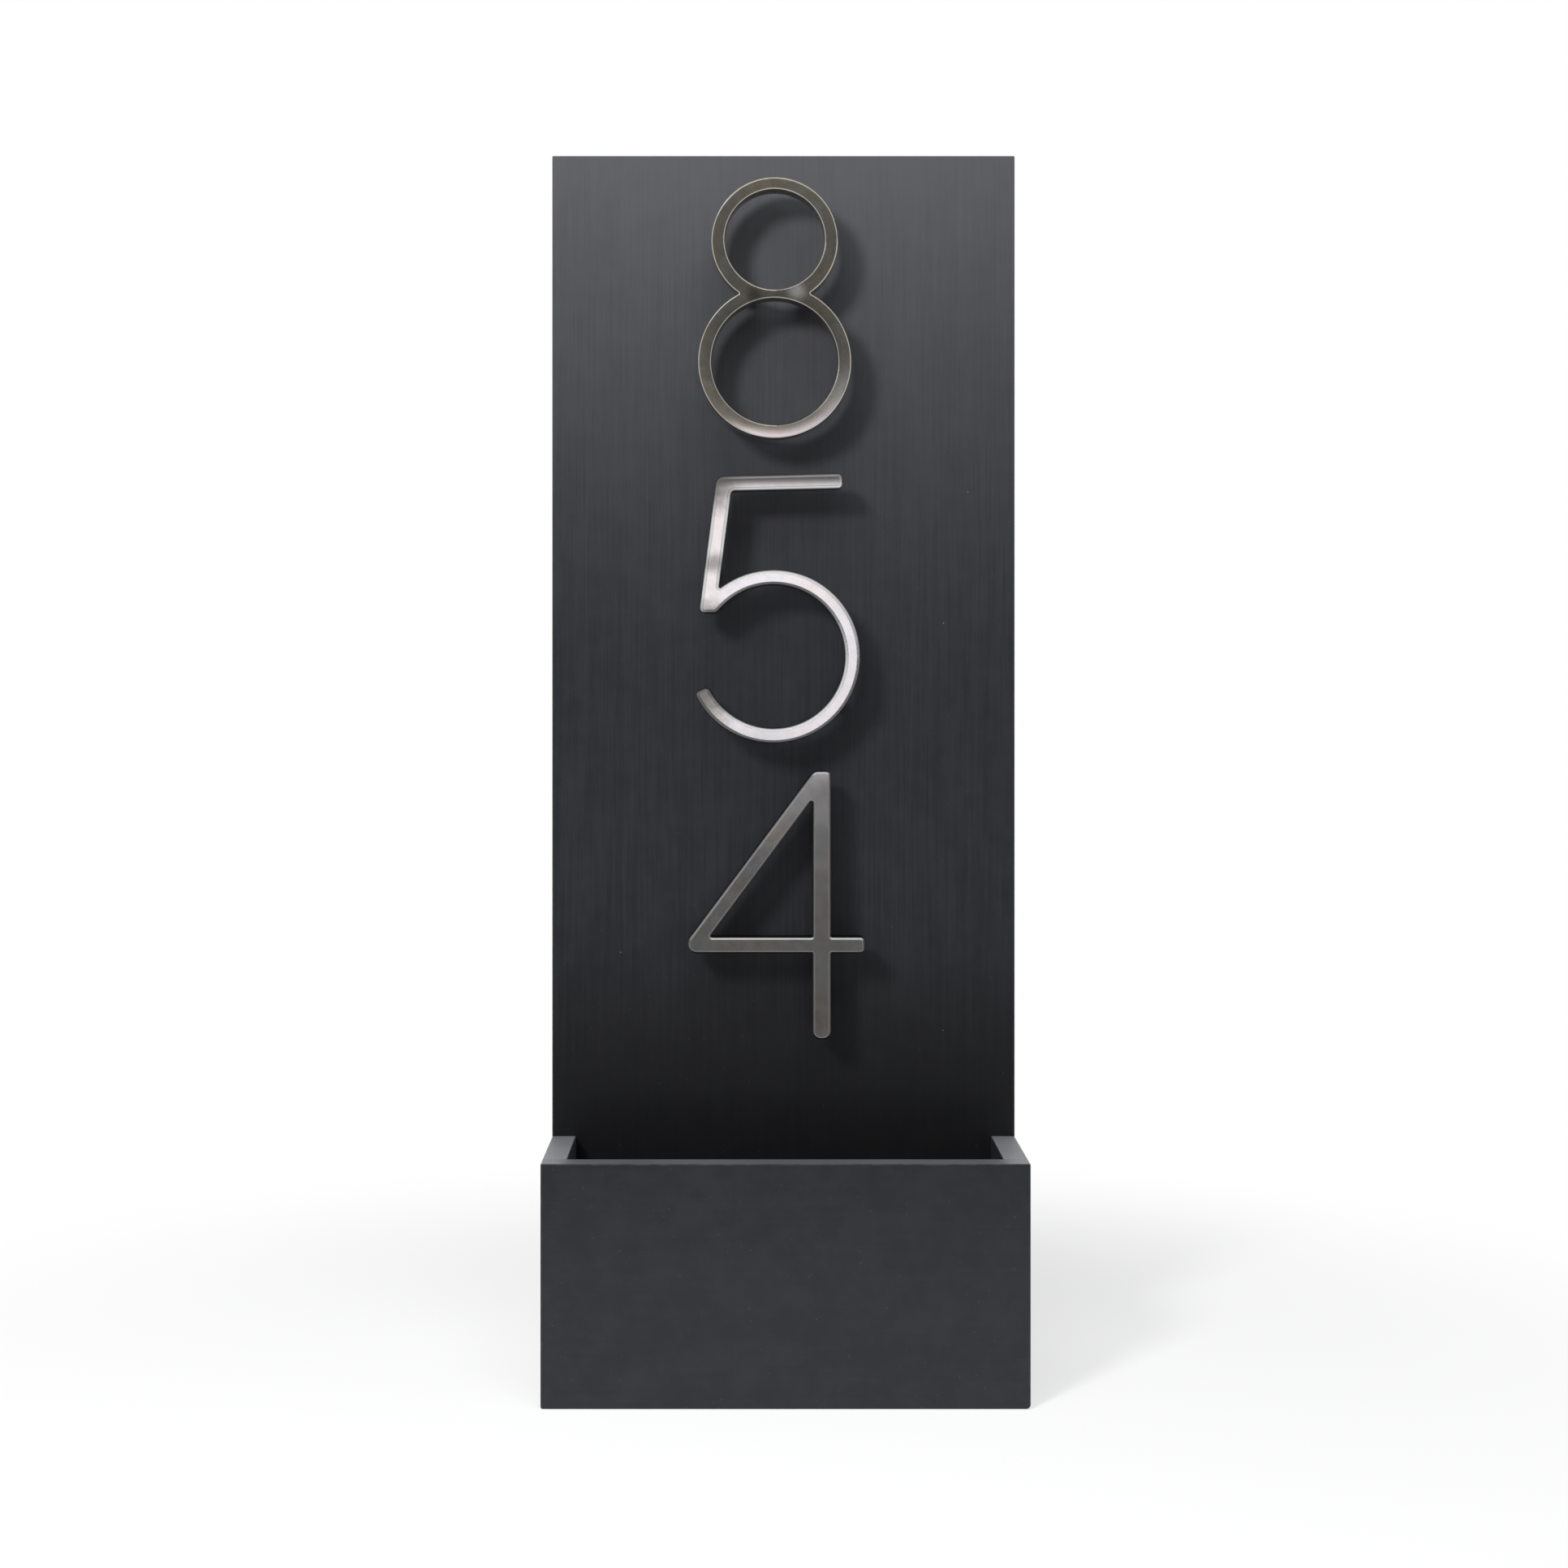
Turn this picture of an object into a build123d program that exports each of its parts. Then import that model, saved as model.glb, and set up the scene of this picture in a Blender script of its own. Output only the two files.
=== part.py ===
from build123d import *
import os
from math import asin, atan2, cos, degrees, radians, sin, sqrt, tan

# House number plaque: a painted board that hangs on a wall, three cast numerals that float in front
# of it on hidden studs, and an open planter box at its foot.
# Millimetres, +Z up, numerals facing -Y, origin on the floor plane at the middle of the footprint.

# Board
board_width = 184.0
board_height = 482.0
board_thickness = 19.0
board_edge_radius = 0.5

# Planter box
box_height = 92.0
box_depth = 60.0
box_wall = 9.5
box_rim_radius = 0.5
box_front_edge_radius = 0.45
box_left_foot_radius = 0.8
box_right_foot_radius = 1.7
drain_radius = 3.2
drain_pitch = 55.0
drain_count = 3

# Dowels between the box front and its sides
dowel_radius = 2.5
dowel_length = 16.0
dowel_in_front = 5.5
dowel_inset = 22.0
dowel_chamfer = 0.5

# Numerals, stacked downwards from the top of the board
numeral_standoff = 12.0
numeral_depth = 10.0
numeral_top_margin = 12.6
gap_eight_to_five = 13.6
gap_five_to_four = 10.9

# Eight: two rings that run into each other, with a crisper front edge than the other two
eight_edge_radius = 0.55
eight_x = -3.7
eight_upper_radius = 24.7
eight_lower_radius = 29.9
eight_ring_pitch = 47.1
eight_stroke = 5.2
eight_upper_hole_lift = 0.5
eight_notch_radius = 0.35
eight_stud_offset = 9.5
eight_stud_lift = 1.0

# Five: a bar, a leaning stem with a foot, and a bowl, with the softest front edge
five_edge_radius = 1.4
five_bowl_x = -4.2
five_bowl_radius = 33.9
five_stroke = 6.0
five_stem_width = 6.5
five_stem_lean = 7.3
five_bar_tilt = 1.3
five_bar_reach = 26.9
five_bar_rise = 71.5
five_foot_rise = 16.9
five_foot_reach = 29.0
five_tail_angle = 24.6
five_outer_corner_radius = 3.4
five_foot_radius = 2.0
five_end_radius = 1.9
five_inner_corner_radius = 1.4
five_crotch_radius = 0.4
five_stem_stud_rise = 34.5
five_bowl_stud_angle = 35.0

# Four: a post, a crossbar and a diagonal
four_edge_radius = 0.9
four_post_x = 14.65
four_height = 104.35
four_post_width = 7.2
four_bar_rise = 33.55
four_bar_width = 6.2
four_bar_overhang = 13.15
four_diagonal_width = 6.1
four_diagonal_lean = 36.7
four_apex_overlap = 6.7
four_tip_radius = 3.6
four_apex_left_radius = 3.2
four_apex_right_radius = 2.0
four_post_end_radius = 3.0
four_bar_end_radius = 1.8
four_crossing_radius = 0.5
four_upper_stud_drop = 15.8
four_lower_stud_rise = 13.6

# Studs and spacer sleeves that carry the numerals
stud_radius = 1.5
stud_in_numeral = 6.0
stud_in_board = 12.0
stud_chamfer = 0.4
spacer_radius = 2.3
glue_clearance = 0.1
hole_end_clearance = 0.5

# Countersunk screws, driven from the back
screw_radius = 1.4
screw_head_radius = 2.75
screw_head_recess = 0.3
screw_tip = 3.0
screw_seat_clearance = 0.05
recess_length = 2.8
recess_width = 0.7
recess_depth = 1.0
box_screw_length = 32.0
side_screw_inset = 24.0
bottom_screw_pitch = 90.0
hanger_screw_length = 13.0

# Keyhole hanger plates, let into the back
hanger_pitch = 101.6
hanger_drop = 50.0
plate_length = 46.0
plate_width = 16.0
plate_thickness = 1.5
plate_screw_inset = 5.0
plate_clearance = 0.2
keyhole_entry_radius = 4.75
keyhole_slot_width = 5.0
keyhole_rise = 9.5
keyhole_entry_drop = 4.0
pocket_radius = 5.75
pocket_depth = 10.0

# Depths, from the wall to the front of the box
total_depth = board_thickness + box_depth
board_back = total_depth / 2
board_front = board_back - board_thickness
box_front = -total_depth / 2
box_front_back = box_front + box_wall
numeral_back = board_front - numeral_standoff
side_x = (board_width - box_wall) / 2
inner_width = board_width - 2 * box_wall
side_length = box_depth - box_wall

# Heights of the numerals
eight_upper_z = board_height - numeral_top_margin - eight_upper_radius
eight_lower_z = eight_upper_z - eight_ring_pitch
five_top = eight_lower_z - eight_lower_radius - gap_eight_to_five
five_bowl_z = five_top - five_bar_rise
five_base = five_bowl_z - five_bowl_radius
four_top = five_base - gap_five_to_four
four_base = four_top - four_height
four_bar_base = four_base + four_bar_rise


def upright(y):
    """The upright plane at depth y, seen from the front: x across, z up, extruding towards -Y."""
    return Plane.XZ.offset(-y)


def corner(sketch, point):
    """The corner of a sketch nearest to a point of its outline."""
    return sketch.vertices().sort_by_distance(Vector(*point))[0]


def front_edges(part):
    """All edges of the foremost face of a part."""
    return part.faces().sort_by(Axis.Y)[0].edges()


# Places of the studs, one pair behind each numeral
eight_upper_hole = eight_upper_radius - eight_stroke
eight_lower_hole = eight_lower_radius - eight_stroke
eight_upper_hole_z = eight_upper_z + eight_upper_hole_lift
web_top = eight_upper_hole_z - sqrt(eight_upper_hole**2 - eight_stud_offset**2)
web_bottom = eight_lower_z + sqrt(eight_lower_hole**2 - eight_stud_offset**2)
eight_stud_z = (web_top + web_bottom) / 2 + eight_stud_lift
eight_studs = [(eight_x - eight_stud_offset, eight_stud_z), (eight_x + eight_stud_offset, eight_stud_z)]

five_foot = (five_bowl_x - five_foot_reach, five_bowl_z + five_foot_rise)
stem_run = tan(radians(five_stem_lean))
stem_across = five_stem_width / cos(radians(five_stem_lean))
five_stem_stud = (
    five_foot[0] + stem_across / 2 + stem_run * (five_stem_stud_rise - five_foot_rise),
    five_bowl_z + five_stem_stud_rise,
)
bowl_middle = five_bowl_radius - five_stroke / 2
five_bowl_stud = (
    five_bowl_x + bowl_middle * cos(radians(five_bowl_stud_angle)),
    five_bowl_z - bowl_middle * sin(radians(five_bowl_stud_angle)),
)
five_studs = [five_stem_stud, five_bowl_stud]

four_upper_stud = (four_post_x, four_top - four_upper_stud_drop)
four_lower_stud = (four_post_x, four_base + four_lower_stud_rise)
four_studs = [four_upper_stud, four_lower_stud]
all_studs = eight_studs + five_studs + four_studs

# Places of the screws, dowels and hangers, as x and z
side_heights = [side_screw_inset, box_height - side_screw_inset]
side_screws = [(side * side_x, height) for side in (-1, 1) for height in side_heights]
bottom_screws = [(side * bottom_screw_pitch / 2, box_wall / 2) for side in (-1, 1)]
box_screw_places = side_screws + bottom_screws
dowel_heights = [dowel_inset, box_height - dowel_inset]
dowel_places = [(side * side_x, height) for side in (-1, 1) for height in dowel_heights]
hanger_z = board_height - hanger_drop
hanger_places = {"left": -hanger_pitch / 2, "right": hanger_pitch / 2}
plate_screw_heights = [hanger_z + end * (plate_length / 2 - plate_screw_inset) for end in (-1, 1)]
plate_screws = [(x, height) for x in hanger_places.values() for height in plate_screw_heights]
entry_z = hanger_z - keyhole_entry_drop
keyhole_top = entry_z + keyhole_rise

os.makedirs("parts", exist_ok=True)


def drill(places, y, radius, depth):
    """Blind or through holes at the places, from depth y; a negative depth drills towards the wall."""
    with BuildSketch(upright(y)) as holes:
        with Locations(*places):
            Circle(radius)
    extrude(holes.sketch, amount=depth, mode=Mode.SUBTRACT)


def countersink(places, y):
    """Seats for countersunk heads a little below a surface at depth y, opening towards the wall."""
    seat_radius = screw_head_radius + screw_head_recess + screw_seat_clearance
    seat_depth = seat_radius - screw_radius
    for x, z in places:
        with BuildSketch(Plane.YZ.offset(x)) as seat:
            with BuildLine():
                Polyline(
                    (y, z),
                    (y, z + seat_radius),
                    (y - seat_depth, z + screw_radius),
                    (y - seat_depth, z),
                    close=True,
                )
            make_face()
        revolve(seat.sketch, axis=Axis((x, 0, z), (0, 1, 0)), mode=Mode.SUBTRACT)


def add_screws(places, length):
    """Countersunk screws with a cross recess and a point, heads just below the back of the board."""
    head = board_back - screw_head_recess
    neck = head - (screw_head_radius - screw_radius)
    tip = head - length
    for x, z in places:
        with BuildSketch(Plane.YZ.offset(x)) as profile:
            with BuildLine():
                Polyline(
                    (head, z),
                    (head, z + screw_head_radius),
                    (neck, z + screw_radius),
                    (tip + screw_tip, z + screw_radius),
                    (tip, z),
                    close=True,
                )
            make_face()
        revolve(profile.sketch, axis=Axis((x, 0, z), (0, 1, 0)))
    with BuildSketch(upright(head)) as cross:
        with Locations(*places):
            Rectangle(recess_length, recess_width)
            Rectangle(recess_width, recess_length)
    extrude(cross.sketch, amount=recess_depth, mode=Mode.SUBTRACT)


# Back board
with BuildPart() as back_board:
    with BuildSketch(upright(board_back)):
        Rectangle(board_width, board_height, align=(Align.CENTER, Align.MIN))
    extrude(amount=board_thickness)
    upright_edges = back_board.edges().filter_by(Axis.Z)
    top_edges = back_board.edges().group_by(Axis.Z)[-1]
    fillet(upright_edges + top_edges, board_edge_radius)
    drill(all_studs, board_front, stud_radius + glue_clearance, -(stud_in_board + hole_end_clearance))
    drill(box_screw_places, board_back, screw_radius + glue_clearance, board_thickness)
    countersink(box_screw_places, board_back)
    with BuildSketch(upright(board_back)):
        with Locations(*[(x, hanger_z) for x in hanger_places.values()]):
            SlotOverall(plate_length + 2 * plate_clearance, plate_width + 2 * plate_clearance, rotation=90)
    extrude(amount=plate_thickness, mode=Mode.SUBTRACT)
    with BuildSketch(upright(board_back)):
        with Locations(*[(x, (entry_z + keyhole_top) / 2) for x in hanger_places.values()]):
            SlotCenterToCenter(keyhole_rise, 2 * pocket_radius, rotation=90)
    extrude(amount=pocket_depth, mode=Mode.SUBTRACT)
    plate_screw_reach = hanger_screw_length + screw_head_recess + hole_end_clearance
    drill(plate_screws, board_back, screw_radius + glue_clearance, plate_screw_reach)
    countersink(plate_screws, board_back)
back_board.part.label = "back_board"
export_step(back_board.part, "parts/back_board.step")

# Front of the box, in front of the ends of both sides
with BuildPart() as planter_front:
    with BuildSketch(upright(box_front_back)) as front_outline:
        Rectangle(board_width, box_height, align=(Align.CENTER, Align.MIN))
        fillet(front_outline.vertices().group_by(Axis.Y)[-1], box_rim_radius)
        fillet(corner(front_outline, (-board_width / 2, 0)), box_left_foot_radius)
        fillet(corner(front_outline, (board_width / 2, 0)), box_right_foot_radius)
    extrude(amount=box_wall)
    fillet(front_edges(planter_front), box_front_edge_radius)
    drill(dowel_places, box_front_back, dowel_radius + glue_clearance, dowel_in_front + hole_end_clearance)
planter_front.part.label = "planter_front"
export_step(planter_front.part, "parts/planter_front.step")

# Sides of the box, between the front and the board
for name, side in {"planter_left_side": -1, "planter_right_side": 1}.items():
    own_screws = [place for place in side_screws if place[0] * side > 0]
    own_dowels = [place for place in dowel_places if place[0] * side > 0]
    screw_in_side = box_screw_length + screw_head_recess - board_thickness + hole_end_clearance
    dowel_in_side = dowel_length - dowel_in_front + hole_end_clearance
    with BuildPart() as planter_side:
        with BuildSketch(upright(board_front)):
            with Locations((side * side_x, 0)):
                Rectangle(box_wall, box_height, align=(Align.CENTER, Align.MIN))
        extrude(amount=side_length)
        fillet(planter_side.edges().filter_by(Axis.Y).group_by(Axis.Z)[-1], box_rim_radius)
        drill(own_screws, board_front, screw_radius + glue_clearance, screw_in_side)
        drill(own_dowels, box_front_back, dowel_radius + glue_clearance, -dowel_in_side)
    planter_side.part.label = name
    export_step(planter_side.part, f"parts/{name}.step")

# Floor of the box, with drain holes
with BuildPart() as planter_bottom:
    with BuildSketch(Plane.XY):
        with Locations((0, (board_front + box_front_back) / 2)):
            Rectangle(inner_width, side_length)
            with GridLocations(drain_pitch, 0, drain_count, 1):
                Circle(drain_radius, mode=Mode.SUBTRACT)
    extrude(amount=box_wall)
    screw_in_bottom = box_screw_length + screw_head_recess - board_thickness + hole_end_clearance
    drill(bottom_screws, board_front, screw_radius + glue_clearance, screw_in_bottom)
planter_bottom.part.label = "planter_bottom"
export_step(planter_bottom.part, "parts/planter_bottom.step")

# Dowels that pin the front to the sides
with BuildPart() as box_dowels:
    with BuildSketch(upright(box_front_back + dowel_length - dowel_in_front)):
        with Locations(*dowel_places):
            Circle(dowel_radius)
    extrude(amount=dowel_length)
    chamfer(box_dowels.edges().filter_by(GeomType.CIRCLE), dowel_chamfer)
box_dowels.part.label = "box_dowels"
export_step(box_dowels.part, "parts/box_dowels.step")

# Screws that hold the box to the board
with BuildPart() as box_screws:
    add_screws(box_screw_places, box_screw_length)
box_screws.part.label = "box_screws"
export_step(box_screws.part, "parts/box_screws.step")

# Notches of the eight, where the outer circles cross
notch_rise = (eight_lower_radius**2 - eight_upper_radius**2 + eight_ring_pitch**2) / (2 * eight_ring_pitch)
notch_reach = sqrt(eight_lower_radius**2 - notch_rise**2)

# Numeral eight
with BuildPart() as numeral_eight:
    with BuildSketch(upright(numeral_back)):
        with Locations((eight_x, eight_upper_z)):
            Circle(eight_upper_radius)
        with Locations((eight_x, eight_lower_z)):
            Circle(eight_lower_radius)
        with Locations((eight_x, eight_upper_hole_z)):
            Circle(eight_upper_hole, mode=Mode.SUBTRACT)
        with Locations((eight_x, eight_lower_z)):
            Circle(eight_lower_hole, mode=Mode.SUBTRACT)
    extrude(amount=numeral_depth)
    for side in (-1, 1):
        notch = Vector(eight_x + side * notch_reach, numeral_back, eight_lower_z + notch_rise)
        fillet(numeral_eight.edges().filter_by(Axis.Y).sort_by_distance(notch)[0], eight_notch_radius)
    fillet(front_edges(numeral_eight), eight_edge_radius)
    drill(eight_studs, numeral_back, stud_radius + glue_clearance, stud_in_numeral + hole_end_clearance)
numeral_eight.part.label = "numeral_eight"
export_step(numeral_eight.part, "parts/numeral_eight.step")

# Outline of the five: the bar rises to the right, and the stem leans to the right
bar_slope = tan(radians(five_bar_tilt))
bar_thick = five_stroke / cos(radians(five_bar_tilt))
bar_end = five_bowl_x + five_bar_reach
bar_end_top = (bar_end, five_top)
bar_end_bottom = (bar_end, five_top - bar_thick)


def stem_meets_bar(stem_x, bar_z):
    """Where a stem line, at x on the foot's level, meets a bar line, at z on the bar's right end."""
    rise = (bar_z - five_foot[1] + bar_slope * (stem_x - bar_end)) / (1 - bar_slope * stem_run)
    return (stem_x + stem_run * rise, five_foot[1] + rise)


stem_inner_x = five_foot[0] + stem_across
five_top_left = stem_meets_bar(five_foot[0], five_top)
five_inner_corner = stem_meets_bar(stem_inner_x, five_top - bar_thick)

# The stem's inner line crosses the bowl's outer circle above the point nearest to the bowl's centre
lean = radians(five_stem_lean)
stem_offset = (stem_inner_x - five_bowl_x) * cos(lean) - five_foot_rise * sin(lean)
crotch_reach = sqrt(five_bowl_radius**2 - stem_offset**2)
five_crotch = (
    five_bowl_x + stem_offset * cos(lean) + crotch_reach * sin(lean),
    five_bowl_z - stem_offset * sin(lean) + crotch_reach * cos(lean),
)
crotch_angle = degrees(atan2(five_crotch[1] - five_bowl_z, five_crotch[0] - five_bowl_x))

# The foot ends on the bowl's inner circle, and the bowl's tail is cut square
bowl_hole = five_bowl_radius - five_stroke
foot_angle = 180 - degrees(asin(five_foot_rise / bowl_hole))
tail_angle = five_tail_angle - 180


def on_bowl(radius, angle):
    """A point at an angle round the bowl's centre."""
    return (five_bowl_x + radius * cos(radians(angle)), five_bowl_z + radius * sin(radians(angle)))


five_foot_end = on_bowl(bowl_hole, foot_angle)
tail_inner = on_bowl(bowl_hole, tail_angle)
tail_outer = on_bowl(five_bowl_radius, tail_angle)

# Numeral five
with BuildPart() as numeral_five:
    with BuildSketch(upright(numeral_back)) as five_face:
        with BuildLine():
            Polyline(
                five_crotch,
                five_inner_corner,
                bar_end_bottom,
                bar_end_top,
                five_top_left,
                five_foot,
                five_foot_end,
            )
            CenterArc((five_bowl_x, five_bowl_z), bowl_hole, foot_angle, tail_angle - foot_angle)
            Line(tail_inner, tail_outer)
            CenterArc((five_bowl_x, five_bowl_z), five_bowl_radius, crotch_angle, tail_angle - crotch_angle)
        make_face()
        fillet(corner(five_face, five_top_left), five_outer_corner_radius)
        fillet(corner(five_face, five_foot), five_foot_radius)
        fillet(corner(five_face, five_foot_end), five_foot_radius)
        fillet(corner(five_face, five_inner_corner), five_inner_corner_radius)
        fillet(corner(five_face, five_crotch), five_crotch_radius)
        for end in (bar_end_top, bar_end_bottom, tail_inner, tail_outer):
            fillet(corner(five_face, end), five_end_radius)
    extrude(amount=numeral_depth)
    fillet(front_edges(numeral_five), five_edge_radius)
    drill(five_studs, numeral_back, stud_radius + glue_clearance, stud_in_numeral + hole_end_clearance)
numeral_five.part.label = "numeral_five"
export_step(numeral_five.part, "parts/numeral_five.step")

# Outline of the four
four_lean = radians(four_diagonal_lean)
diagonal_run = tan(four_lean)
diagonal_across = four_diagonal_width / cos(four_lean)
post_left = four_post_x - four_post_width / 2
post_right = four_post_x + four_post_width / 2
apex_left = post_right - four_apex_overlap
four_tip = (apex_left - diagonal_run * (four_top - four_bar_base), four_bar_base)
tip_inner = (four_tip[0] + diagonal_across, four_bar_base)
inner_apex = (post_left, four_top - (apex_left + diagonal_across - post_left) / diagonal_run)
bar_top = four_bar_base + four_bar_width
inner_tip = (tip_inner[0] + diagonal_run * four_bar_width, bar_top)
bar_start = four_tip[0] + (diagonal_run * four_bar_width + diagonal_across) / 2
bar_right = post_right + four_bar_overhang

# Numeral four
with BuildPart() as numeral_four:
    with BuildSketch(upright(numeral_back)) as four_face:
        with Locations((four_post_x, four_base)):
            Rectangle(four_post_width, inner_apex[1] - four_base, align=(Align.CENTER, Align.MIN))
        with Locations((bar_start, four_bar_base)):
            Rectangle(bar_right - bar_start, four_bar_width, align=(Align.MIN, Align.MIN))
        with BuildLine():
            Polyline(
                four_tip,
                tip_inner,
                inner_apex,
                (post_right, inner_apex[1]),
                (post_right, four_top),
                (apex_left, four_top),
                close=True,
            )
        make_face()
        fillet(corner(four_face, four_tip), four_tip_radius)
        fillet(corner(four_face, (apex_left, four_top)), four_apex_left_radius)
        fillet(corner(four_face, (post_right, four_top)), four_apex_right_radius)
        for x in (post_left, post_right):
            fillet(corner(four_face, (x, four_base)), four_post_end_radius)
        for z in (four_bar_base, bar_top):
            fillet(corner(four_face, (bar_right, z)), four_bar_end_radius)
        crossing = [(post_left, four_bar_base), (post_right, four_bar_base), (post_right, bar_top)]
        for point in crossing + [(post_left, bar_top), inner_apex, inner_tip]:
            fillet(corner(four_face, point), four_crossing_radius)
    extrude(amount=numeral_depth)
    fillet(front_edges(numeral_four), four_edge_radius)
    drill(four_studs, numeral_back, stud_radius + glue_clearance, stud_in_numeral + hole_end_clearance)
numeral_four.part.label = "numeral_four"
export_step(numeral_four.part, "parts/numeral_four.step")

# Studs, glued into the numerals and the board
stud_length = stud_in_board + numeral_standoff + stud_in_numeral
with BuildPart() as numeral_studs:
    with BuildSketch(upright(board_front + stud_in_board)):
        with Locations(*all_studs):
            Circle(stud_radius)
    extrude(amount=stud_length)
    chamfer(numeral_studs.edges().filter_by(GeomType.CIRCLE), stud_chamfer)
numeral_studs.part.label = "numeral_studs"
export_step(numeral_studs.part, "parts/numeral_studs.step")

# Spacer sleeves round the studs
with BuildPart() as numeral_spacers:
    with BuildSketch(upright(board_front)):
        with Locations(*all_studs):
            Circle(spacer_radius)
            Circle(stud_radius + glue_clearance, mode=Mode.SUBTRACT)
    extrude(amount=numeral_standoff)
numeral_spacers.part.label = "numeral_spacers"
export_step(numeral_spacers.part, "parts/numeral_spacers.step")

# Keyhole hanger plates
for name, x in hanger_places.items():
    own_screws = [place for place in plate_screws if place[0] == x]
    with BuildPart() as hanger_plate:
        with BuildSketch(upright(board_back)):
            with Locations((x, hanger_z)):
                SlotOverall(plate_length, plate_width, rotation=90)
            with Locations((x, entry_z)):
                Circle(keyhole_entry_radius, mode=Mode.SUBTRACT)
            with Locations((x, (entry_z + keyhole_top) / 2)):
                SlotCenterToCenter(keyhole_rise, keyhole_slot_width, rotation=90, mode=Mode.SUBTRACT)
        extrude(amount=plate_thickness)
        drill(own_screws, board_back, screw_radius + glue_clearance, plate_thickness)
        countersink(own_screws, board_back)
    hanger_plate.part.label = f"hanger_plate_{name}"
    export_step(hanger_plate.part, f"parts/hanger_plate_{name}.step")

# Screws of the hanger plates
with BuildPart() as hanger_screws:
    add_screws(plate_screws, hanger_screw_length)
hanger_screws.part.label = "hanger_screws"
export_step(hanger_screws.part, "parts/hanger_screws.step")
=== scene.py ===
"""House number plaque: materials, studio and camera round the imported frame, in metres."""
import math
import bpy
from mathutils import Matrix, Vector


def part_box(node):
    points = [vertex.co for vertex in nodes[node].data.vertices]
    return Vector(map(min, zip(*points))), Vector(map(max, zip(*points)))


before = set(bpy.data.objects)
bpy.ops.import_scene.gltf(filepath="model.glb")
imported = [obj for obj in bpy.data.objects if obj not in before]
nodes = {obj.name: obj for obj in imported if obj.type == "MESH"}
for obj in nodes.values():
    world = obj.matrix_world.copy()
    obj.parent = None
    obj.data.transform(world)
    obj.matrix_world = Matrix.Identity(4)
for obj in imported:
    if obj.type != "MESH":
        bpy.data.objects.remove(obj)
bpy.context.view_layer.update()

X, Y, Z = range(3)
LEFT = (-1.0, 0.0, 0.0)
RIGHT = (1.0, 0.0, 0.0)
FRONT = (0.0, -1.0, 0.0)
UP = (0.0, 0.0, 1.0)
MM_PER_M = 1000.0
SEED_STEP_MM = (311.7, 173.3, 97.1)  # how far one step of a seed shifts a pattern
NOISE_RANGE = (0.3, 0.7)  # nearly all values of a noise lie in it


def colour(r, g, b):
    return (r, g, b, 1.0)


def grey(value):
    return colour(value, value, value)


def between(a, b, share):
    """The colour that lies a share of the way from a to b."""
    return tuple(p + (q - p) * share for p, q in zip(a, b))


WHITE = grey(1.0)


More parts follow.
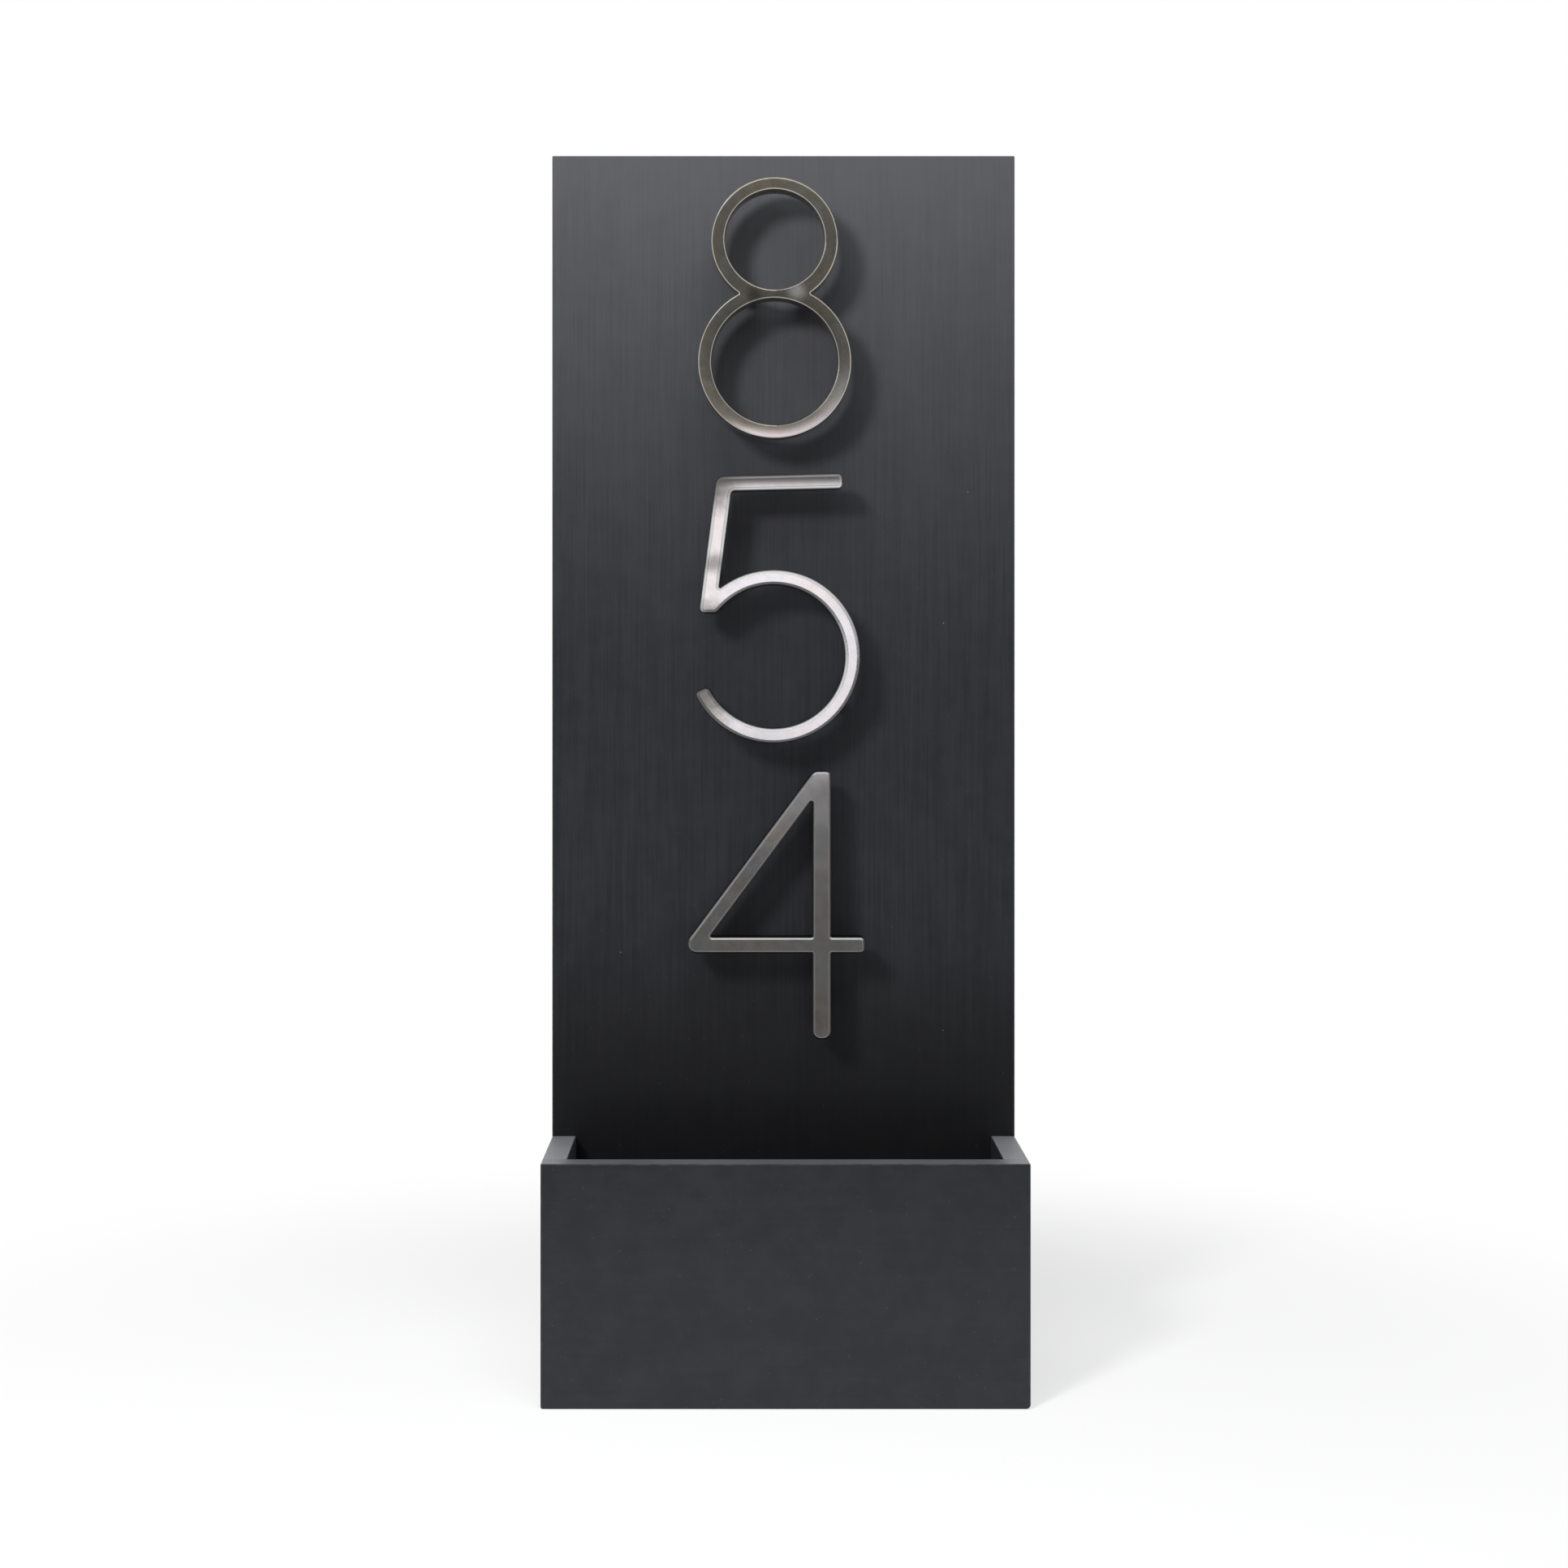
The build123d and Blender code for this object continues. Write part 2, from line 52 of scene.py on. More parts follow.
class Graph:
    """The node tree of a material or of the world, with short calls for the nodes used here."""

    def __init__(self, owner):
        self.owner = owner
        owner.use_nodes = True
        self.tree = owner.node_tree
        self.tree.nodes.clear()

    def add(self, kind, inputs, **settings):
        """A new node. An input is a value or the output of another node."""
        made = self.tree.nodes.new(kind)
        for key, value in settings.items():
            setattr(made, key, value)
        for key, value in inputs.items():
            if isinstance(value, bpy.types.NodeSocket):
                self.tree.links.new(value, made.inputs[key])
            else:
                made.inputs[key].default_value = value
        return made

    def calc(self, operation, a, b=0.0, c=0.0, clamp=False):
        inputs = {0: a, 1: b, 2: c}
        made = self.add("ShaderNodeMath", inputs, operation=operation, use_clamp=clamp)
        return made.outputs[0]

    def times(self, a, b):
        return self.calc("MULTIPLY", a, b)

    def plus(self, start, value, weight):
        """Start plus weight times value."""
        return self.calc("MULTIPLY_ADD", value, weight, start)

    def mix(self, factor, a, b, blend="MIX"):
        inputs = {0: factor, 6: a, 7: b}
        made = self.add("ShaderNodeMix", inputs, data_type="RGBA", blend_type=blend)
        return made.outputs[2]

    def linear(self, value, low, high, out_low=0.0, out_high=1.0, steps="LINEAR"):
        """Map low to high onto another range. What lies outside gets the nearer end."""
        inputs = {0: value, 1: low, 2: high, 3: out_low, 4: out_high}
        return self.add("ShaderNodeMapRange", inputs, interpolation_type=steps).outputs[0]

    def smooth(self, value, low, high, out_low=0.0, out_high=1.0):
        return self.linear(value, low, high, out_low, out_high, "SMOOTHSTEP")

    def noise(self, vector, scale, detail=2.0, roughness=0.5):
        inputs = {"Vector": vector, "Scale": scale, "Detail": detail, "Roughness": roughness}
        return self.add("ShaderNodeTexNoise", inputs).outputs[0]

    def cells(self, vector, scale):
        """The distance to the middle of a random cell, and two random values of that cell."""
        made = self.add("ShaderNodeTexVoronoi", {"Vector": vector, "Scale": scale})
        split = self.add("ShaderNodeSeparateColor", {0: made.outputs["Color"]})
        return made.outputs["Distance"], split.outputs[0], split.outputs[1]

    def specks(self, vector, scale, above, least, most):
        """Round specks, in the cells whose chance lies above a limit; radii are in cell widths."""
        distance, chance, size = self.cells(vector, scale)
        inside = self.calc("LESS_THAN", distance, self.linear(size, 0.0, 1.0, least, most))
        return self.times(inside, self.calc("GREATER_THAN", chance, above))

    def position(self):
        """Object coordinates in metres."""
        return self.add("ShaderNodeTexCoord", {}).outputs["Object"]

    def place(self, seed):
        """Object coordinates in millimetres, shifted so that no two pieces share a pattern."""
        inputs = {
            "Vector": self.position(),
            "Location": [seed * step for step in SEED_STEP_MM],
            "Scale": (MM_PER_M, MM_PER_M, MM_PER_M),
        }
        return self.add("ShaderNodeMapping", inputs).outputs[0]

    def stretch(self, vector, axis, share):
        """Coordinates with one axis scaled. A small share draws a pattern out along it."""
        scale = [1.0, 1.0, 1.0]
        scale[axis] = share
        return self.add("ShaderNodeMapping", {"Vector": vector, "Scale": scale}).outputs[0]

    def coordinate(self, axis):
        """Where a point lies along X, Y or Z, in metres."""
        return self.add("ShaderNodeSeparateXYZ", {0: self.position()}).outputs[axis]

    def dot(self, vector, direction):
        inputs = {0: vector, 1: direction}
        made = self.add("ShaderNodeVectorMath", inputs, operation="DOT_PRODUCT")
        return made.outputs["Value"]

    def along(self, direction):
        """How far a point lies along a direction, in metres."""
        return self.dot(self.position(), direction)

    def facing(self, direction):
        """How far the surface faces a direction, from -1 to 1."""
        return self.dot(self.add("ShaderNodeNewGeometry", {}).outputs["Normal"], direction)

    def edge_distance(self, low, high):
        """Distance in millimetres, on the faces of a box, to the nearest edge of that box.

        It is the middle one of the distances to the box's faces in X, Y and Z: the least one is 0.
        """
        split = self.add("ShaderNodeSeparateXYZ", {0: self.position()})
        near = []
        for axis in (X, Y, Z):
            from_low = self.calc("SUBTRACT", split.outputs[axis], low[axis])
            from_high = self.calc("SUBTRACT", high[axis], split.outputs[axis])
            near.append(self.calc("MAXIMUM", self.calc("MINIMUM", from_low, from_high), 0.0))
        x, y, z = near
        lesser = self.calc("MINIMUM", x, y)
        greater = self.calc("MAXIMUM", x, y)
        middle = self.calc("MAXIMUM", lesser, self.calc("MINIMUM", greater, z))
        return self.times(middle, MM_PER_M)

    def bump(self, height, distance, strength=1.0, below=None):
        """A normal bent by a height. Below is the normal that it is laid over."""
        inputs = {"Strength": strength, "Distance": distance, "Height": height}
        if below is not None:
            inputs["Normal"] = below
        return self.add("ShaderNodeBump", inputs).outputs[0]

    def rays(self):
        """Whether a ray comes from the camera, and whether a surface mirrors or passes it on."""
        path = self.add("ShaderNodeLightPath", {}).outputs
        mirrored = self.calc("MAXIMUM", path["Is Glossy Ray"], path["Is Transmission Ray"])
        return path["Is Camera Ray"], mirrored

    def finish(self, inputs):
        shader = self.add("ShaderNodeBsdfPrincipled", inputs)
        self.add("ShaderNodeOutputMaterial", {"Surface": shader.outputs[0]})
        return self.owner


def material_graph(name):
    return Graph(bpy.data.materials.new(name))


# Paint: a deep and a light tone, the board's paler than the box's, and what lies on it;
# some of these colours are painted light and shade
BOX_TONES = colour(0.0066, 0.0070, 0.0088), colour(0.0108, 0.0112, 0.0136)
BOARD_TONES = colour(0.0112, 0.0116, 0.0136), colour(0.0168, 0.0172, 0.0198)
BOARD_TOP_LIGHT = colour(0.0610, 0.0615, 0.0665)
BOARD_SHADE = colour(0.0040, 0.0040, 0.0042)
PAINT_SHEEN = colour(0.92, 0.95, 1.0)
INNER_LIGHT_TONE = colour(0.120, 0.122, 0.128)
DUST_SHADED_BACK = colour(0.138, 0.141, 0.153)
DUST_FRONT = colour(0.218, 0.221, 0.233)
WORN_EDGE = colour(0.085, 0.080, 0.076)
SPECK = colour(0.33, 0.32, 0.30)
FLECK = colour(0.22, 0.22, 0.23)

TONE_STEP = (0.36, 0.64)  # from the deep to the light tone
TONE_RANGE = (0.35, 0.65)
BLOTCH_SHARE = 0.15  # of the tone; grain lines and clouds share the rest
BOX_SHINE = 0.4
TOP_LIGHT_HEIGHTS = (0.265, 0.480)  # from plain paint to painted light at the top
TOP_LIGHT_POWER = 1.5
SHADE_HEIGHTS = (0.190, 0.105)  # from plain paint to painted shade above the box
SHINE_HEIGHTS = (0.105, 0.180)  # from dull to less dull: painted shade in the sheen near the box
RIM_ENDS = (0.079, 0.087)  # from the middle of the box's front to its corners, in X
RIM_DEPTHS = (0.020, -0.030)  # from the rim's back, its dust darkened as painted shade, to its front, in Y
WORN_MM = (1.35, 0.75)  # from whole paint to worn, in ragged distances from an edge


def box_paint(g, tone):
    """Colour and shine of the box."""
    return g.mix(g.smooth(tone, *TONE_STEP), *BOX_TONES), BOX_SHINE


def board_paint(g, tone):
    """Colour and shine of the board: paler towards the top, as painted light, and darker and
    duller near the box, as painted shade.
    """
    height = g.coordinate(Z)
    base = g.mix(g.smooth(tone, *TONE_STEP), *BOARD_TONES)
    # Painted light: the board's colour grows paler towards the top
    top_light_share = g.calc("POWER", g.linear(height, *TOP_LIGHT_HEIGHTS), TOP_LIGHT_POWER)
    top_light_mix = g.times(top_light_share, g.linear(tone, *TONE_RANGE, 0.90, 1.10))
    base = g.mix(top_light_mix, base, BOARD_TOP_LIGHT)
    # Painted shade: darker, and with less shine, near the box
    base = g.mix(g.smooth(height, *SHADE_HEIGHTS, 0.0, 0.85), base, BOARD_SHADE)
    return base, g.smooth(height, *SHINE_HEIGHTS, 0.18, 0.23)


def painted_wood(
    name, node, grain, seed,
    paint=box_paint, lines=0.5, dust=1.0, end_dust=None, film=None, motes=0.6,
):
    """Satin charcoal paint over wood: brush and grain lines along an axis, dust, worn arrises.

    Paint gives the colour and the shine. Lines is how strong the grain shows. Dust is how thick
    it lies on top, and end_dust the same at the left and right ends. The light inside the box is
    the direction of a face there, and how far painted light lifts it. Motes is how strong the
    specks are.
    """
    g = material_graph(name)
    place = g.place(seed)
    fine_lines = g.noise(g.stretch(place, grain, 0.02), scale=1.2, roughness=0.6)
    pores = g.noise(g.stretch(place, grain, 0.05), scale=2.2, detail=1.0)
    blotch = g.noise(place, scale=0.018, detail=3.0)
    cloud = g.noise(place, scale=0.10, detail=4.0, roughness=0.65)
    peel = g.noise(place, scale=1.3)
    tone = g.plus(g.times(blotch, BLOTCH_SHARE), cloud, 1.0 - BLOTCH_SHARE - lines)
    tone = g.plus(tone, fine_lines, lines)
    base, shine = paint(g, tone)

    # Painted light on a side's inner face, most where it lies in shade
    if film is not None:
        direction, amount = film
        base = g.mix(g.smooth(g.facing(direction), 0.5, 0.9, 0.0, amount), base, INNER_LIGHT_TONE)
    if end_dust is not None:
        dust = g.smooth(g.calc("ABSOLUTE", g.coordinate(X)), *RIM_ENDS, dust, end_dust)
    upward = g.smooth(g.facing(UP), 0.85, 0.99)
    dusty = g.times(upward, g.linear(blotch, *NOISE_RANGE, 0.7, 1.0))
    # Dust on top faces, darker towards the back as painted shade from the board
    pale = g.mix(g.linear(g.coordinate(Y), *RIM_DEPTHS), DUST_SHADED_BACK, DUST_FRONT)
    base = g.mix(g.times(dusty, dust), base, pale)

    low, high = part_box(node)
    fray = g.noise(place, scale=0.35, detail=4.0, roughness=0.7)
    ragged = g.plus(g.edge_distance(low, high), fray, 1.6)
    base = g.mix(g.times(g.smooth(ragged, *WORN_MM), 0.3), base, WORN_EDGE)
    speck = g.specks(place, scale=0.085, above=0.62, least=0.012, most=0.032)
    fleck = g.specks(place, scale=0.27, above=0.45, least=0.03, most=0.075)
    base = g.mix(g.times(speck, 0.35 * motes), base, SPECK)
    base = g.mix(g.times(fleck, 0.16 * motes), base, FLECK)

    relief = g.plus(g.times(fine_lines, 1.6 * lines), pores, 0.35)
    relief = g.plus(relief, peel, 0.3)
    relief = g.plus(relief, speck, 0.8)
    return g.finish({
        "Base Color": base,
        "Roughness": g.plus(g.linear(tone, *TONE_RANGE, 0.285, 0.315), dusty, 0.25),
        "Normal": g.bump(relief, distance=0.00006, strength=0.5),
        "Specular Tint": PAINT_SHEEN,
        "Specular IOR Level": shine,
    })


# Nickel: a deep and a light tone, clean and tarnished, two faint casts of colour, and its marks,
# most of them painted shade and highlights
CLEAN_DEEP = colour(0.60, 0.585, 0.575)
CLEAN_LIGHT = colour(0.66, 0.645, 0.64)
TARNISHED_DEEP = colour(0.39, 0.37, 0.315)
TARNISHED_LIGHT = colour(0.44, 0.42, 0.365)
BROWN_CAST = colour(1.0, 0.955, 0.90)
BLUE_CAST = colour(0.955, 0.98, 1.0)
RING_INNER_SHADE = colour(0.20, 0.19, 0.17)
RING_HIGHLIGHT = colour(0.65, 0.605, 0.615)
BAR_SHADE = colour(0.112, 0.106, 0.101)
SPOT = colour(0.10, 0.098, 0.09)
SHEEN_TINT = colour(0.58, 0.60, 0.62)

METAL_ROUGH = (0.123, 0.131)
SHEEN_ROUGH = 0.28  # added
SHOULDER_ROUGH = 0.24  # added
LEAST_TILT = 0.02  # keeps the flat faces out of a division


class CastMetal(Graph):
    """Satin nickel on a casting, gently uneven and finely brushed.

    Warm is how far it is tarnished, and matte how much rougher it is. Set apart for each numeral,
    the tarnish is partly painted shade for how darkly each mirrors. The other calls then change
    it in places, in the order in which they are made, and done ends it. Places are in metres.
    """

    def __init__(self, name, warm, seed, matte=0.0):
        super().__init__(bpy.data.materials.new(name))
        place = self.place(seed)
        sway = self.noise(place, scale=0.035, detail=1.0)
        ripple = self.noise(place, scale=0.16, detail=1.0)
        drift = self.noise(place, scale=0.055)
        self.grit = self.noise(place, scale=2.6, detail=3.0, roughness=0.6)
        self.mottle = self.noise(place, scale=0.30, detail=3.0, roughness=0.55)
        deep = between(CLEAN_DEEP, TARNISHED_DEEP, warm)
        light = between(CLEAN_LIGHT, TARNISHED_LIGHT, warm)
        self.base = self.mix(self.smooth(self.mottle, *NOISE_RANGE), deep, light)
        cast = self.mix(self.smooth(drift, 0.38, 0.62), BROWN_CAST, BLUE_CAST)
        self.base = self.mix(min(1.0, 0.3 + 2.0 * warm), self.base, cast, "MULTIPLY")
        least, most = METAL_ROUGH
        self.rough = self.linear(self.mottle, *NOISE_RANGE, least + matte, most + matte)
        self.normal = self.bump(self.plus(sway, ripple, 0.05), distance=0.00015)

    def paint(self, factor, tint):
        self.base = self.mix(factor, self.base, tint)

    def distance(self, x, z):
        """How far a point lies from x and z, with its depth left out."""
        inputs = {0: self.stretch(self.position(), Y, 0.0), 1: (x, 0.0, z)}
        return self.add("ShaderNodeVectorMath", inputs, operation="DISTANCE").outputs["Value"]

    def patch(self, x, z, radius, amount):
        """A soft ragged round patch on the face."""
        fray = self.calc("SUBTRACT", self.mottle, 0.5)
        reach = self.plus(self.distance(x, z), fray, 0.4 * radius)
        return self.smooth(reach, radius, 0.15 * radius, 0.0, amount)

    def spot(self, x, z, radius, amount):
        """A dark spot."""
        self.paint(self.patch(x, z, radius, amount), SPOT)

    def sheen_patch(self, x, z, radius, amount):
        """A pale, rougher patch: a painted sheen."""
        pale = self.patch(x, z, radius, amount)
        self.paint(pale, SHEEN_TINT)
        self.rough = self.plus(self.rough, pale, SHEEN_ROUGH)

    def bow(self, direction, start, end, depth):
        """Curl the casting back along a direction, from start to end."""
        curl = self.smooth(self.along(direction), end, start)
        self.normal = self.bump(curl, depth, below=self.normal)

    def ring(self, x, z, inner, outer, highlight, fall):
        """Paint shade inside a ring, and a highlight on part of its outside, where it falls away.

        The ring is x and z of its middle and its two radii. The highlight is given by a direction,
        and the places along it where the painted highlight starts and ends. Fall is a depth.
        """
        direction, start, end = highlight
        across = self.linear(self.distance(x, z), inner, outer)
        self.paint(self.smooth(across, 0.8, 0.0, 0.0, 0.4), RING_INNER_SHADE)
        lit_band = self.smooth(self.along(direction), start, end)
        self.paint(self.times(lit_band, self.smooth(across, 0.3, 1.0, 0.0, 0.85)), RING_HIGHLIGHT)
        slope = self.times(self.times(across, across), self.times(lit_band, -1.0))
        self.normal = self.bump(slope, fall, below=self.normal)

    def shoulders(self, direction, start, end, shaded, lit, spared=()):
        """Paint light and shade onto the rounded front edges by the way they face, blur them, and
        return where they are.

        They get painted shade where they face a direction less than start, and painted light where
        they face it more than end. What is spared stays lit: each is a direction, the place beyond
        which all is lit, and the place where the shading is full.
        """
        front = self.facing(FRONT)
        ahead = self.smooth(front, 0.08, 0.3)
        turned = self.times(self.smooth(front, 0.9995, 0.985), ahead)
        blurred = self.times(self.smooth(front, 0.99995, 0.998), ahead)
        self.rough = self.plus(self.rough, blurred, SHOULDER_ROUGH)
        sideways = self.calc("SUBTRACT", 1.0, self.times(front, front), clamp=True)
        tilt = self.calc("MAXIMUM", self.calc("SQRT", sideways), LEAST_TILT)
        compass = self.calc("DIVIDE", self.facing(direction), tilt)
        away = self.smooth(compass, end, start)
        for limit, all_lit, full in spared:
            away = self.times(away, self.smooth(self.along(limit), all_lit, full))
        self.paint(turned, self.mix(away, grey(lit), grey(shaded)))
        return turned

    def shade_along(self, direction, start, end, edges):
        """Paint shade onto the metal along a direction, and onto its rounded edges a little less.
        """
        shaded_band = self.smooth(self.along(direction), start, end)
        self.paint(self.times(shaded_band, self.linear(edges, 0.0, 1.0, 1.0, 0.75)), BAR_SHADE)

    def done(self, glint=1.0):
        """Lay the fine grit over it. Glint is how bright an edge is that is seen at a low angle."""
        fine = self.plus(self.grit, self.mottle, 0.3)
        return self.finish({
            "Base Color": self.base,
            "Metallic": 1.0,
            "Roughness": self.rough,
            "Normal": self.bump(fine, distance=0.000002, strength=0.1, below=self.normal),
            "Specular Tint": grey(glint),
        })


def eight_metal():
    """Tarnished all over, partly as painted shade, with a painted highlight round the bottom
    and painted shade on the inside of the lower ring.
    """
    metal = CastMetal("nickel_eight", warm=1.0, seed=6.0)
    low_highlight = ((-0.2, 0.0, 0.98), 0.3736, 0.3626)
    metal.ring(-0.0037, 0.3976, inner=0.0247, outer=0.0299, highlight=low_highlight, fall=0.00005)
    metal.spot(-0.0120, 0.4237, radius=0.0042, amount=0.7)  # waist, left
    # Painted sheen on the right of the waist and of the lower ring
    metal.sheen_patch(0.0049, 0.4250, radius=0.0055, amount=0.3)  # waist, right
    metal.sheen_patch(0.0215, 0.3840, radius=0.0160, amount=0.2)  # lower ring, right
    return metal.done()


def five_metal():
    """Bright, with a dark bar, foot and tail; the bar's darkness and the tail's are painted shade.
    """
    metal = CastMetal("nickel_five", warm=0.1, seed=7.0)
    up_the_bar = (-0.0227, 0.0, 1.0)
    spared = [(up_the_bar, 0.34735, 0.3445), ((-0.707, 0.0, 0.707), 0.240, 0.228)]
    edges = metal.shoulders((-0.35, 0.0, 0.94), -0.7, 0.8, shaded=0.14, lit=0.66, spared=spared)
    # Painted shade along the bar
    metal.shade_along(up_the_bar, 0.3483, 0.3521, edges)
    # The tail's dark spot is painted shade
    metal.spot(-0.0340, 0.2700, radius=0.024, amount=0.9)  # tail
    metal.spot(-0.0271, 0.3190, radius=0.006, amount=0.66)  # stem
    metal.spot(-0.0290, 0.3500, radius=0.015, amount=0.8)  # corner of bar and stem
    metal.spot(-0.0285, 0.2960, radius=0.0115, amount=0.9)  # foot of the stem
    return metal.done(glint=0.6)


def four_metal():
    """Half tarnished, partly as painted shade, and curled back, so that it gets darker downwards.
    """
    metal = CastMetal("nickel_four", warm=0.4, seed=8.0, matte=0.02)
    metal.bow(UP, 0.340, 0.100, depth=0.0017)
    metal.shoulders(UP, 0.35, 1.0, shaded=0.09, lit=0.55)
    metal.spot(0.0146, 0.1420, radius=0.010, amount=0.2)  # foot of the post
    metal.spot(-0.0100, 0.2000, radius=0.018, amount=0.15)  # diagonal
    # The apex's spot is painted shade that dims its reflection
    metal.spot(0.0141, 0.2330, radius=0.010, amount=0.16)  # apex
    return metal.done(glint=0.2)


def plated_steel(name, warm, seed):
    """Zinc plate on steel: faint rolling lines, a crystalline mottle and dull scuffs."""
    g = material_graph(name)
    place = g.place(seed)
    lines = g.noise(g.stretch(place, Z, 0.03), scale=3.0, detail=3.0)
    crystal = g.cells(place, scale=0.5)[1]
    scuff = g.noise(place, scale=0.6, detail=5.0, roughness=0.7)
    light = colour(0.60 + warm, 0.59 + 0.6 * warm, 0.56)
    base = g.mix(crystal, colour(0.50, 0.50, 0.49), light)
    base = g.mix(g.smooth(scuff, 0.55, 0.75, 0.0, 0.6), base, colour(0.32, 0.31, 0.29))
    return g.finish({
        "Base Color": base,
        "Metallic": 1.0,
        "Roughness": g.plus(g.linear(lines, *NOISE_RANGE, 0.18, 0.30), scuff, 0.22),
        "Normal": g.bump(g.plus(lines, scuff, 0.5), distance=0.00003, strength=0.6),
    })


def black_plastic(name, seed):
    """Matte black sleeve with a fine moulded grain."""
    g = material_graph(name)
    grain = g.noise(g.place(seed), scale=4.0, detail=3.0)
    return g.finish({
        "Base Color": g.mix(grain, colour(0.010, 0.010, 0.011), colour(0.020, 0.020, 0.021)),
        "Roughness": g.linear(grain, *NOISE_RANGE, 0.5, 0.65),
        "Normal": g.bump(grain, distance=0.00004, strength=0.5),
    })


def bare_wood(name, seed):
    """Bare beech with its grain along Y, for the dowels."""
    g = material_graph(name)
    place = g.place(seed)
    rings = g.noise(g.stretch(place, Y, 0.04), scale=0.9, detail=4.0, roughness=0.6)
    flecks = g.noise(g.stretch(place, Y, 0.15), scale=2.5)
    pale, brown = colour(0.62, 0.44, 0.26), colour(0.42, 0.27, 0.14)
    base = g.mix(g.smooth(rings, 0.35, 0.65), brown, pale)
    base = g.mix(g.smooth(flecks, 0.6, 0.75, 0.0, 0.5), base, colour(0.30, 0.18, 0.09))
    return g.finish({
        "Base Color": base,
        "Roughness": g.linear(rings, *NOISE_RANGE, 0.55, 0.7),
        "Normal": g.bump(rings, distance=0.0001, strength=0.5),
    })


def dress(node, material):
    mesh = nodes[node].data
    mesh.materials.clear()
    mesh.materials.append(material)


def dress_wood(node, name, grain, seed, **wear):
    dress(node, painted_wood(name, node, grain, seed, **wear))


dress_wood("back_board", "paint_board", Z, 1.0, paint=board_paint, motes=1.0)
dress_wood("planter_front", "paint_front", X, 2.0, lines=0.2, dust=0.38, end_dust=0.85)
# The sides' inner faces get painted light, the left side's most, as it lies in shade
dress_wood("planter_left_side", "paint_left", Y, 3.0, film=(RIGHT, 0.8))
dress_wood("planter_right_side", "paint_right", Y, 4.0, film=(LEFT, 0.15))
dress_wood("planter_bottom", "paint_bottom", X, 5.0, dust=0.4)
dress("numeral_eight", eight_metal())
dress("numeral_five", five_metal())
dress("numeral_four", four_metal())
dress("numeral_spacers", black_plastic("sleeve_black", 9.0))
dress("numeral_studs", plated_steel("stud_zinc", 0.0, 10.0))
dress("box_screws", plated_steel("screw_zinc", 0.04, 11.0))
dress("hanger_screws", plated_steel("hanger_screw_zinc", 0.04, 12.0))
hanger_zinc = plated_steel("hanger_zinc", 0.02, 13.0)
dress("hanger_plate_left", hanger_zinc)
dress("hanger_plate_right", hanger_zinc)
dress("box_dowels", bare_wood("dowel_beech", 14.0))


def area_lamp(name, place, target, power, tint, width, height=None, mirrored=True):
    """A lamp turned to a target: a rectangle, or a disk if it has no height."""
    lamp = bpy.data.lights.new(name, "AREA")
    lamp.energy = power
    lamp.color = tint
    lamp.size = width
    if height is None:
        lamp.shape = "DISK"
    else:
        lamp.shape = "RECTANGLE"
        lamp.size_y = height
    made = bpy.data.objects.new(name, lamp)
    made.location = place
    made.rotation_mode = "QUATERNION"
    made.rotation_quaternion = (Vector(target) - Vector(place)).to_track_quat("-Z", "Y")
    made.visible_camera = False
    made.visible_glossy = mirrored
    bpy.context.scene.collection.objects.link(made)


COOL = (0.97, 0.985, 1.0)

# The key throws the numerals' shadows to the lower right, and the top lamp fills them. The front
# lamp gives the paint its sheen, and the strip is what the five mirrors.
area_lamp(
    "key", place=(-0.58, -1.12, 0.86), target=(0.0, 0.0, 0.28),
    power=19.6, tint=(1.0, 0.995, 0.985), width=0.28, mirrored=False,
)
area_lamp(
    "front", place=(-0.30, -2.6, 1.36), target=(0.0, 0.0, 0.30),
    power=4.0, tint=COOL, width=1.2, height=0.3,
)
area_lamp(
    "top", place=(0.0, -0.90, 1.45), target=(0.0, -0.05, 0.25),
    power=17.5, tint=COOL, width=1.3, height=0.9, mirrored=False,
)
area_lamp(
    "strip", place=(0.0, -3.0, 0.360), target=(0.0, 0.0, 0.360),
    power=1.20, tint=(0.98, 0.938, 1.0), width=0.5, height=0.51,
)


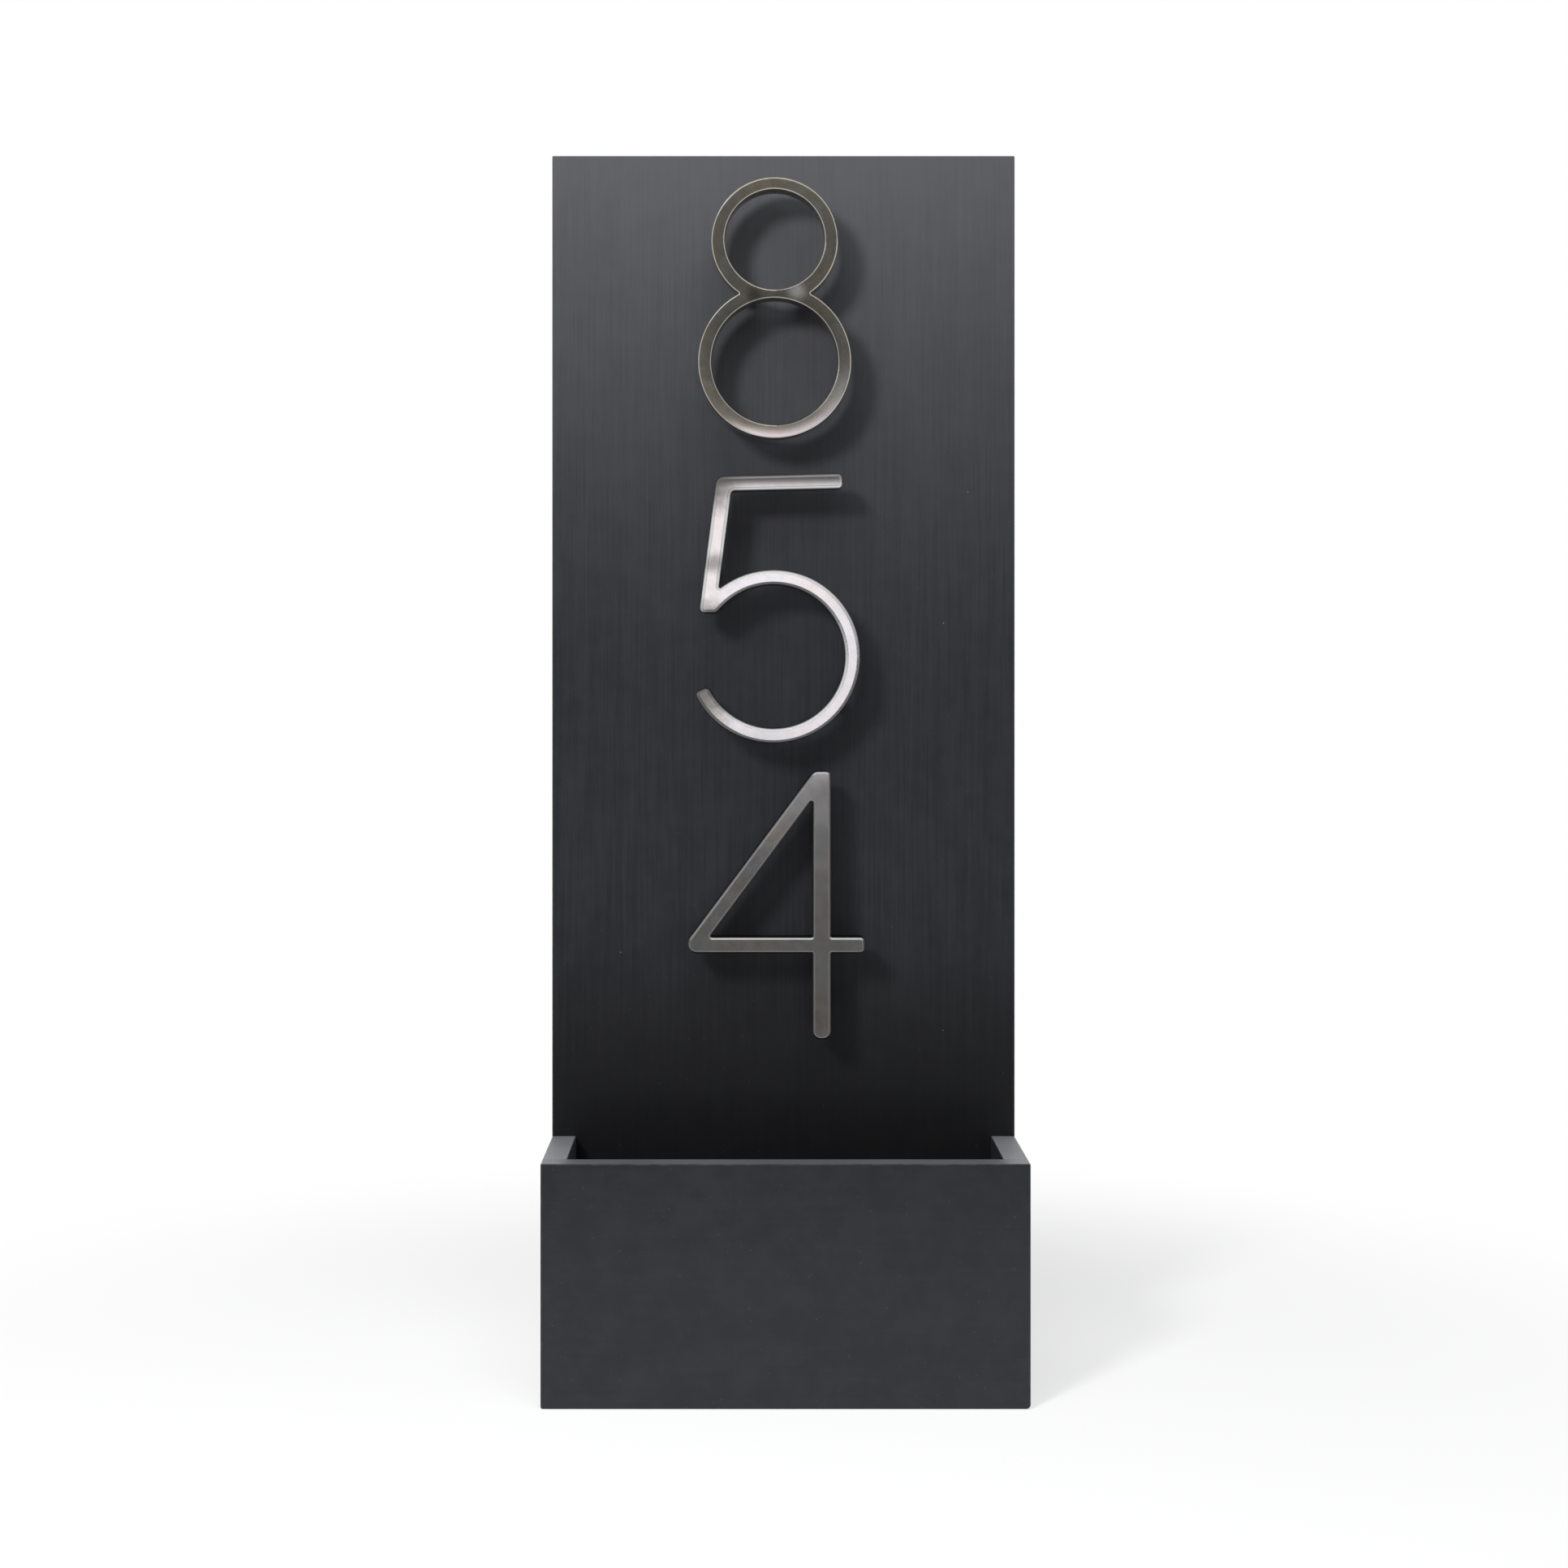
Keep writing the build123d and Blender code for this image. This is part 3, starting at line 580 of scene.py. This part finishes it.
def studio_world():
    """Dim all round. The camera sees it white, and so do mirrors, but for a part straight ahead."""
    world = bpy.data.worlds.new("studio")
    bpy.context.scene.world = world
    g = Graph(world)
    direction = g.add("ShaderNodeTexCoord", {}).outputs["Generated"]
    depth = g.add("ShaderNodeSeparateXYZ", {0: direction}).outputs[Y]
    elsewhere = g.linear(depth, -0.985, -0.93)
    camera_ray, mirrored_ray = g.rays()
    shown_white = g.calc("MAXIMUM", camera_ray, g.times(mirrored_ray, elsewhere))
    dim = g.add("ShaderNodeBackground", {"Color": colour(0.96, 0.98, 1.0), "Strength": 0.13})
    white = g.add("ShaderNodeBackground", {"Color": WHITE, "Strength": 1.0})
    both = g.add("ShaderNodeMixShader", {0: shown_white, 1: dim.outputs[0], 2: white.outputs[0]})
    g.add("ShaderNodeOutputWorld", {"Surface": both.outputs[0]})


def pale_floor(radius, drop=0.0003):
    """A pale round floor that keeps a soft shadow near the object and runs out into the white."""
    bpy.ops.mesh.primitive_circle_add(
        vertices=128, radius=radius, fill_type="NGON", location=(0.0, 0.0, -drop)
    )
    floor = bpy.context.object
    floor.name = "floor"
    g = material_graph("floor_pale")
    away = g.add("ShaderNodeVectorMath", {0: g.position()}, operation="LENGTH").outputs["Value"]
    outer = g.smooth(away, 0.35 * radius, 0.95 * radius, 0.66, 1.0)
    camera_ray, mirrored_ray = g.rays()
    share = g.times(g.calc("MAXIMUM", camera_ray, mirrored_ray), outer)
    matte = g.add("ShaderNodeBsdfDiffuse", {"Color": grey(0.86)})
    glow = g.add("ShaderNodeEmission", {"Color": WHITE, "Strength": 1.0})
    both = g.add("ShaderNodeMixShader", {0: share, 1: matte.outputs[0], 2: glow.outputs[0]})
    g.add("ShaderNodeOutputMaterial", {"Surface": both.outputs[0]})
    floor.data.materials.append(g.owner)


studio_world()
pale_floor(0.52)

# The camera is fitted to the photograph: level, at the height of the five, a little to the left
camera_data = bpy.data.cameras.new("camera")
camera_data.sensor_width = 36.0
camera_data.lens = 60.6
camera_data.shift_x = 0.0228
camera_data.shift_y = -0.0688
camera = bpy.data.objects.new("camera", camera_data)
camera.location = (-0.014, -1.0295, 0.275)
camera.rotation_euler = (math.radians(90.0), 0.0, 0.0)
bpy.context.scene.collection.objects.link(camera)
bpy.context.scene.camera = camera
bpy.context.scene.view_settings.view_transform = "Standard"
